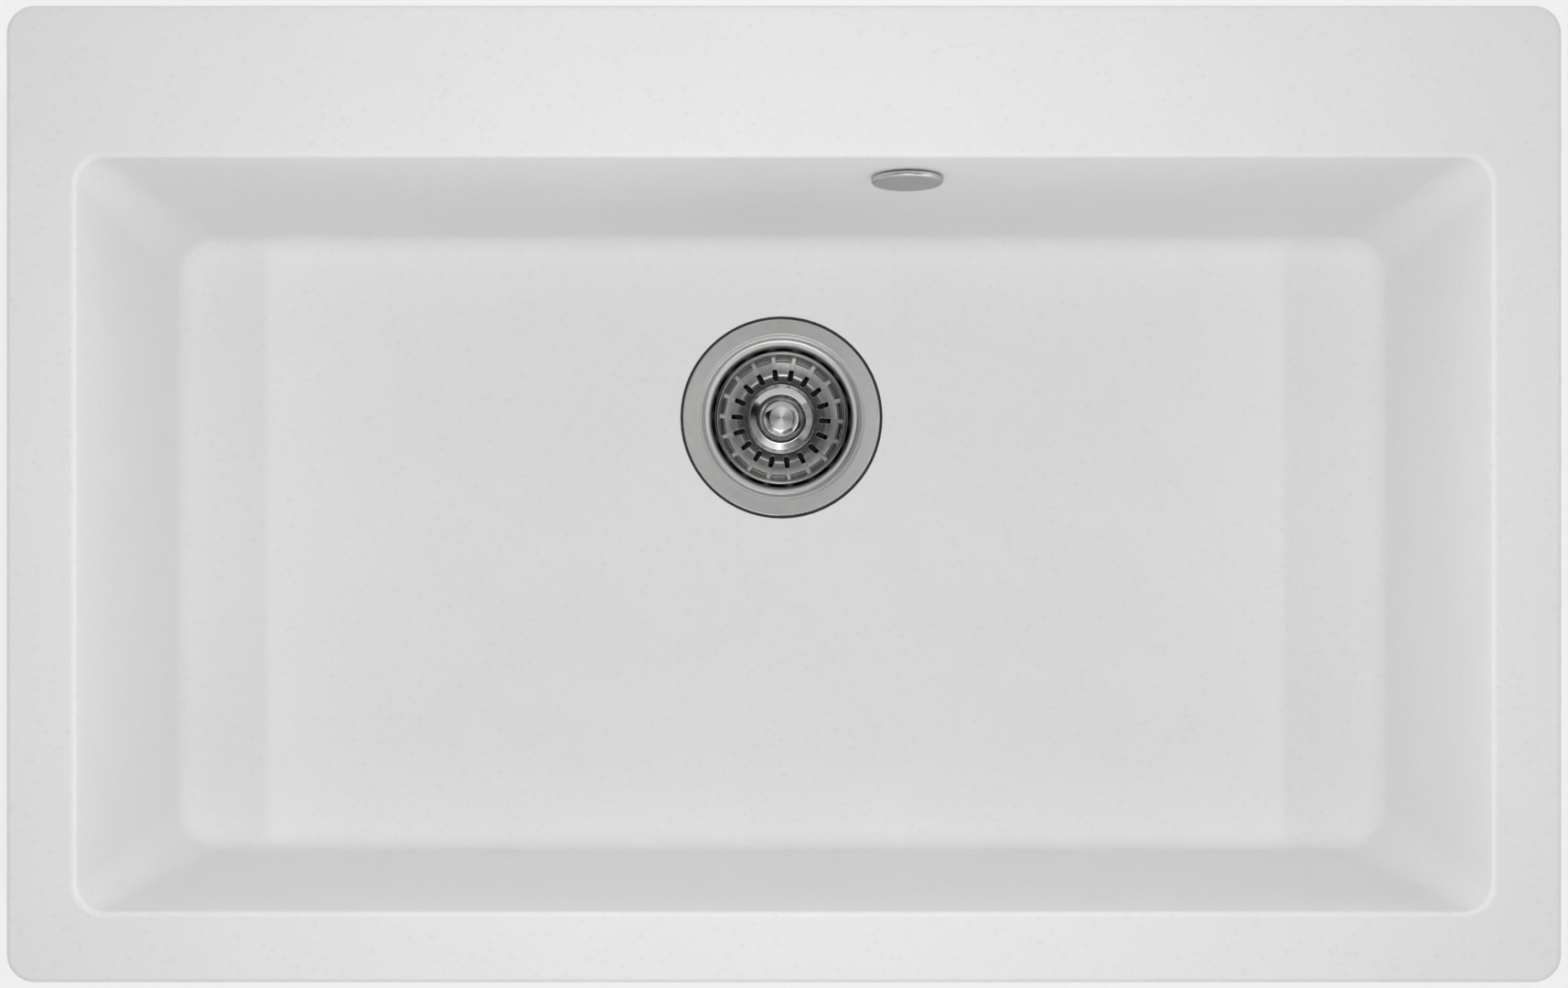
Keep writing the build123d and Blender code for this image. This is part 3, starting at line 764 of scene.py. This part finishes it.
def add_camera():
    """A camera over the middle of the sink whose frame holds the outline as the photograph does."""
    data = bpy.data.cameras.new("camera")
    data.sensor_fit = "HORIZONTAL"
    data.sensor_width = sensor_width
    frame_width = sink_width * image_width / outline_pixels
    data.lens = sensor_width * camera_above_deck / frame_width
    data.shift_x = -camera_offset / frame_width
    camera = bpy.data.objects.new("camera", data)
    camera.location = (camera_offset, 0, deck_level + camera_above_deck)
    bpy.context.scene.collection.objects.link(camera)
    bpy.context.scene.camera = camera


def add_softbox(name, place, size, power):
    """A square soft light that looks at the sink and isn't mirrored by it."""
    data = bpy.data.lights.new(name, "AREA")
    data.shape = "RECTANGLE"
    data.size = size
    data.size_y = size
    data.energy = power
    lamp = bpy.data.objects.new(name, data)
    lamp.location = place
    lamp.rotation_euler = (-Vector(place)).to_track_quat("-Z", "Y").to_euler()
    lamp.visible_glossy = False
    lamp.visible_camera = False
    bpy.context.scene.collection.objects.link(lamp)


def add_sun(name, tilt, strength):
    """A distant light, tilted about the Y axis from straight above."""
    data = bpy.data.lights.new(name, "SUN")
    data.energy = strength
    data.angle = math.radians(side_spread)
    lamp = bpy.data.objects.new(name, data)
    lamp.rotation_euler = (0, math.radians(tilt), 0)
    lamp.visible_glossy = False
    bpy.context.scene.collection.objects.link(lamp)


def add_lights():
    """Soft boxes over, behind and in front of the bowl, and side lights that cast the rim's shadow."""
    add_softbox("box_top", (0, 0, top_box_height), top_box_size, top_box_power)
    add_softbox("box_back", (0, end_box_distance, end_box_height), end_box_size, back_box_power)
    add_softbox("box_front", (0, -end_box_distance, end_box_height), end_box_size, front_box_power)
    add_sun("side_left", side_left_tilt, side_left_strength)
    add_sun("side_right", side_right_tilt, side_right_strength)


def sky_ramp(tree, height, levels):
    """The sky's brightness by the height of a direction."""
    ramp = add(tree, "ShaderNodeFloatCurve")
    curve = ramp.mapping.curves[0]
    top = max(level for _, level in levels)
    curve.points[0].location = (levels[0][0], levels[0][1] / top)
    curve.points[1].location = (levels[-1][0], levels[-1][1] / top)
    for place, level in levels[1:-1]:
        curve.points.new(place, level / top)
    ramp.mapping.update()
    tree.links.new(height, ramp.inputs["Value"])
    return combine(tree, "MULTIPLY", ramp.outputs[0], top)


def end_share(tree, parts):
    """How far a direction points to the front or the back and not to the sides, from 0 to 1."""
    along = combine(tree, "MULTIPLY", parts["Y"], parts["Y"])
    across = combine(tree, "MULTIPLY", parts["X"], parts["X"])
    return combine(tree, "DIVIDE", along, combine(tree, "ADD", along, across))


def sky_light(tree, parts):
    """The light of the sky, by the height of a direction and by the side that it comes from."""
    behind = combine(tree, "GREATER_THAN", parts["Y"], 0.0)
    front = sky_ramp(tree, parts["Z"], front_levels)
    back = sky_ramp(tree, parts["Z"], back_levels)
    sides = sky_ramp(tree, parts["Z"], side_levels)
    return pick(tree, end_share(tree, parts), sides, pick(tree, behind, front, back))


def studio_mark(tree, direction, turn, height, reach, level):
    """A round darker patch of the studio, by its turn, height and reach in degrees."""
    turn, height, reach = (math.radians(angle) for angle in (turn, height, reach))
    flat = math.cos(height)
    facing = add(tree, "ShaderNodeVectorMath", {"operation": "DOT_PRODUCT"})
    facing.inputs[1].default_value = (flat * math.cos(turn), flat * math.sin(turn), math.sin(height))
    tree.links.new(direction, facing.inputs[0])
    edge = math.cos((1 + mark_softness) * reach)
    inside = math.cos((1 - mark_softness) * reach)
    return spread(tree, facing.outputs["Value"], 1.0, level, edge, inside)


def studio(tree, direction, parts):
    """What metal mirrors: dark straight overhead, with bright fields in front and behind, and patches."""
    lean = spread(tree, end_share(tree, parts), -1.0, 1.0)
    high = spread(tree, parts["Z"], *studio_fields, *studio_field_heights)
    fields = combine(tree, "ADD", combine(tree, "MULTIPLY", lean, high), 1)
    cloud = noise(tree, direction, studio_patch, detail=1.0)
    patches = spread(tree, cloud, *studio_patch_levels, *studio_patch_start)
    right = combine(tree, "ADD", combine(tree, "MULTIPLY", parts["X"], studio_right), 1)
    shares = [fields, patches, right]
    shares += [studio_mark(tree, direction, *mark) for mark in studio_marks]
    level = sky_ramp(tree, parts["Z"], studio_levels)
    for share in shares:
        level = combine(tree, "MULTIPLY", level, share)
    return level


def add_sky():
    """A sky that lights the sink, a studio that the metal mirrors and a white ground for the camera."""
    world = bpy.data.worlds.new("sky")
    world.use_nodes = True
    world.cycles.sampling_method = "NONE"
    bpy.context.scene.world = world
    tree = world.node_tree
    direction = add(tree, "ShaderNodeTexCoord").outputs["Generated"]
    parts = split(tree, direction)
    rays = add(tree, "ShaderNodeLightPath")
    light = sky_light(tree, parts)
    level = pick(tree, rays.outputs["Is Glossy Ray"], light, studio(tree, direction, parts))
    level = pick(tree, rays.outputs["Is Camera Ray"], level, 1.0)
    background = tree.nodes["Background"]
    set_values(background, Color=grey(1.0))
    wire(tree, background, Strength=level)


def floor_white():
    """Pale matt floor, open from its underside, with a glow for the camera and mirrors, white far off."""
    material, tree, shader = new_material("floor_white")
    set_values(shader, Roughness=floor_roughness, Emission_Color=grey(1.0))
    rays = add(tree, "ShaderNodeLightPath")
    seen = combine(tree, "MAXIMUM", rays.outputs["Is Camera Ray"], rays.outputs["Is Glossy Ray"])
    distance = axis_distance(tree, object_place(tree))
    far = spread(tree, distance, 0.0, 1.0, floor_shadow_reach, 2 * floor_shadow_reach)
    shadowed = blend_colours(tree, far, grey(floor_shadow_tone), grey(0.0))
    colour = blend_colours(tree, seen, grey(floor_tone), shadowed)
    glow = combine(tree, "MULTIPLY", seen, spread(tree, far, floor_glow, 1.0))
    wire(tree, shader, Base_Color=colour, Emission_Strength=glow)
    side = add(tree, "ShaderNodeNewGeometry")
    clear = add(tree, "ShaderNodeBsdfTransparent")
    choice = add(tree, "ShaderNodeMixShader")
    tree.links.new(side.outputs["Backfacing"], choice.inputs[0])
    tree.links.new(shader.outputs[0], choice.inputs[1])
    tree.links.new(clear.outputs[0], choice.inputs[2])
    tree.links.new(choice.outputs[0], tree.nodes["Material Output"].inputs["Surface"])
    return material


def add_floor():
    """A floor under the sink that takes its shadow and hides nothing from below."""
    mesh = bpy.data.meshes.new("floor")
    shape = bmesh.new()
    bmesh.ops.create_grid(shape, x_segments=2, y_segments=2, size=floor_half)
    shape.to_mesh(mesh)
    shape.free()
    floor = bpy.data.objects.new("floor", mesh)
    floor.location.z = object_low - floor_gap
    bpy.context.scene.collection.objects.link(floor)
    mesh.materials.append(floor_white())


dress_nodes()
add_camera()
add_sky()
add_lights()
add_floor()
bpy.context.scene.view_settings.view_transform = "Standard"
